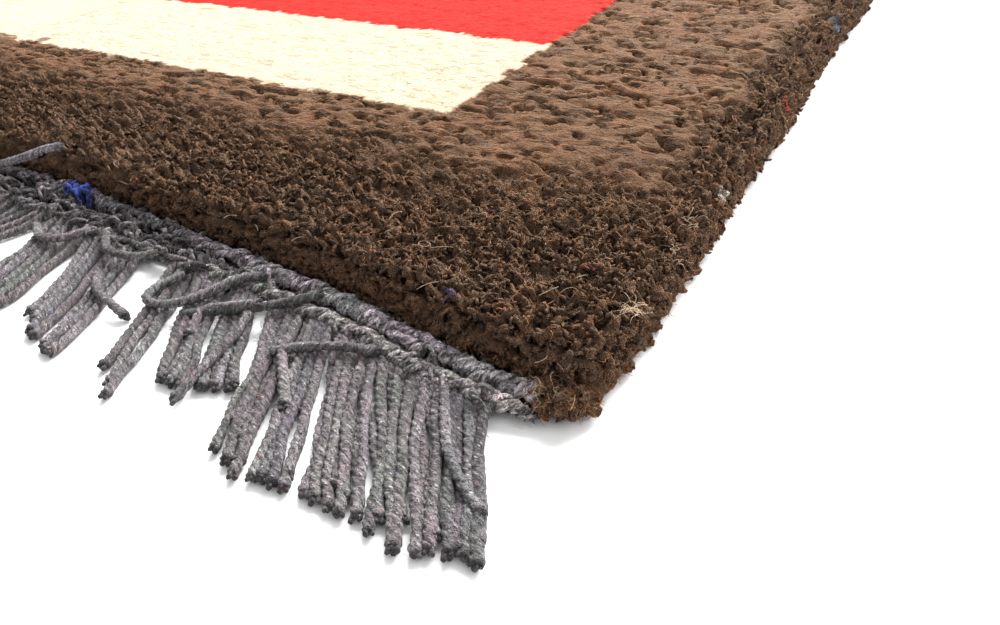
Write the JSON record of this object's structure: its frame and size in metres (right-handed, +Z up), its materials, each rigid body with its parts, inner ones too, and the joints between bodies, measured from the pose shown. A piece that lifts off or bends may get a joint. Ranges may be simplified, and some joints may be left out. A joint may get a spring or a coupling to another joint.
{
  "type": "nepalese rug",
  "caption": "Flat rectangular hand-knotted pile rug with a plain border, cross bands and a plain field, bound sides, and a twined web with a cord fringe along its ends.",
  "frame": {"origin": "middle of the overall outline, fringes included, on the floor under the rug", "axes": "+Z up from the floor, +Y along the rug's length away from the near end, +X across its width"},
  "size_m": [0.6015, 0.9904, 0.0151],
  "materials": {
    "pile_wool": "cut wool pile, brown border with cream bands and a red field",
    "selvedge_wool": "brown wool overcasting, hairy and matt",
    "web_yarn": "plied recycled yarn, grey with coloured flecks, matt"
  },
  "bodies": {
    "root": {"pile": "pile_wool", "selvedge_left": "selvedge_wool", "selvedge_right": "selvedge_wool", "fringe_near": "web_yarn", "fringe_far": "web_yarn"}
  },
  "joints": []
}
